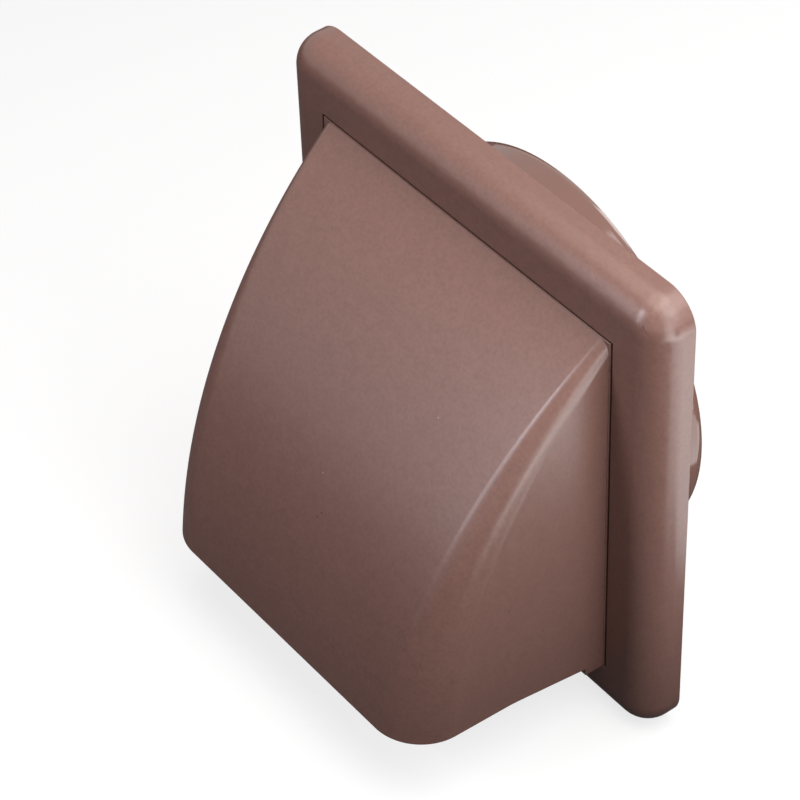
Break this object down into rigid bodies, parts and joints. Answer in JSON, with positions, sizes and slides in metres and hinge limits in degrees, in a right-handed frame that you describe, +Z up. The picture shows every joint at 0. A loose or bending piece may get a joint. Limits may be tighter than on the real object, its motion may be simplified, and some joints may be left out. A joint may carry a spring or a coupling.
{
  "type": "hooded wall vent",
  "caption": "Square wall vent for a round duct: face frame with a curved rain hood, a duct spigot behind it and a top-hung backdraught flap inside.",
  "frame": {"origin": "on the wall plane, at the back of the face frame, on the duct spigot's axis", "axes": "+Y into the wall along the spigot, +Z up, +X to the right as seen from in front of the wall; the hood faces -Y"},
  "size_m": [0.16, 0.1029, 0.16],
  "materials": {
    "textured_brown": "fine spark texture with a satin sheen",
    "glossy_brown": "smooth and glossy",
    "flap_brown": "smooth, satin",
    "stainless": "drawn wire",
    "foam": "closed-cell foam",
    "zinc": "bright zinc plate"
  },
  "bodies": {
    "vent_body": {"surround_frame": "textured_brown", "cowl_hood": "textured_brown", "spigot_plate": "glossy_brown", "seat_seal": "foam", "plate_screw_1": "zinc", "plate_screw_2": "zinc", "plate_screw_3": "zinc", "plate_screw_4": "zinc"},
    "flap": {"damper_flap": "flap_brown", "flap_pin": "stainless"}
  },
  "joints": [
    {"name": "flap_hinge", "type": "hinge", "parent": "vent_body", "child": "flap", "pos_m": [0, -0.0054, 0.0589], "axis": [-1, 0, 0], "range_deg": [0, 35]}
  ]
}
